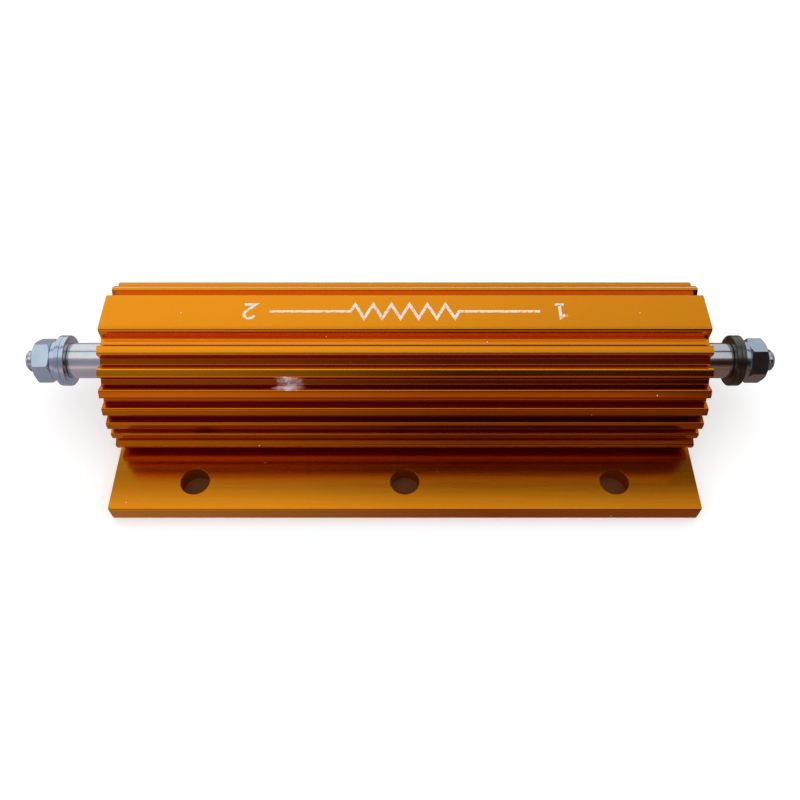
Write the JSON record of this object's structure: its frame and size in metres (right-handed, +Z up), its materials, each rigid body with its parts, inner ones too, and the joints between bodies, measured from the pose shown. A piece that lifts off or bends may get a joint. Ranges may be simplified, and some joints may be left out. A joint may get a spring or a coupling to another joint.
{
  "type": "aluminium housed power resistor",
  "caption": "Wirewound power resistor in a ribbed gold aluminium extrusion with drilled mounting flanges and a threaded terminal with nut and washers at each end.",
  "frame": {"origin": "middle of the housing's length and width, on the underside of its mounting flanges", "axes": "+X along the housing towards the right terminal, +Y across it towards the back flange, +Z up towards the marking plate"},
  "size_m": [0.1322, 0.0516, 0.024],
  "materials": {
    "gold_anodised_aluminium": "satin gold anodising over fine lines along the extrusion",
    "steatite": "unglazed fired ceramic",
    "resistance_alloy": "dull oxidised wire",
    "nickel_plated_steel": "smooth bright nickel plating",
    "cement": "matte cast cement",
    "insulating_board": "pressed mica board",
    "silicone_seal": "matte poured silicone cement",
    "zinc_plated_steel": "bright zinc plating with a bluish tint"
  },
  "bodies": {
    "root": {"housing": "gold_anodised_aluminium", "ceramic_rod": "steatite", "resistance_wire": "resistance_alloy", "end_cap_left": "nickel_plated_steel", "end_cap_right": "nickel_plated_steel", "potting_cement": "cement", "centring_disc_left": "insulating_board", "centring_disc_right": "insulating_board", "end_seal_left": "silicone_seal", "end_seal_right": "silicone_seal", "terminal_left": "nickel_plated_steel", "terminal_right": "nickel_plated_steel", "inner_washer_left": "zinc_plated_steel", "inner_washer_right": "zinc_plated_steel", "outer_washer_left": "zinc_plated_steel", "outer_washer_right": "zinc_plated_steel", "spring_washer_left": "zinc_plated_steel", "spring_washer_right": "zinc_plated_steel", "nut_left": "zinc_plated_steel", "nut_right": "zinc_plated_steel"}
  },
  "joints": []
}
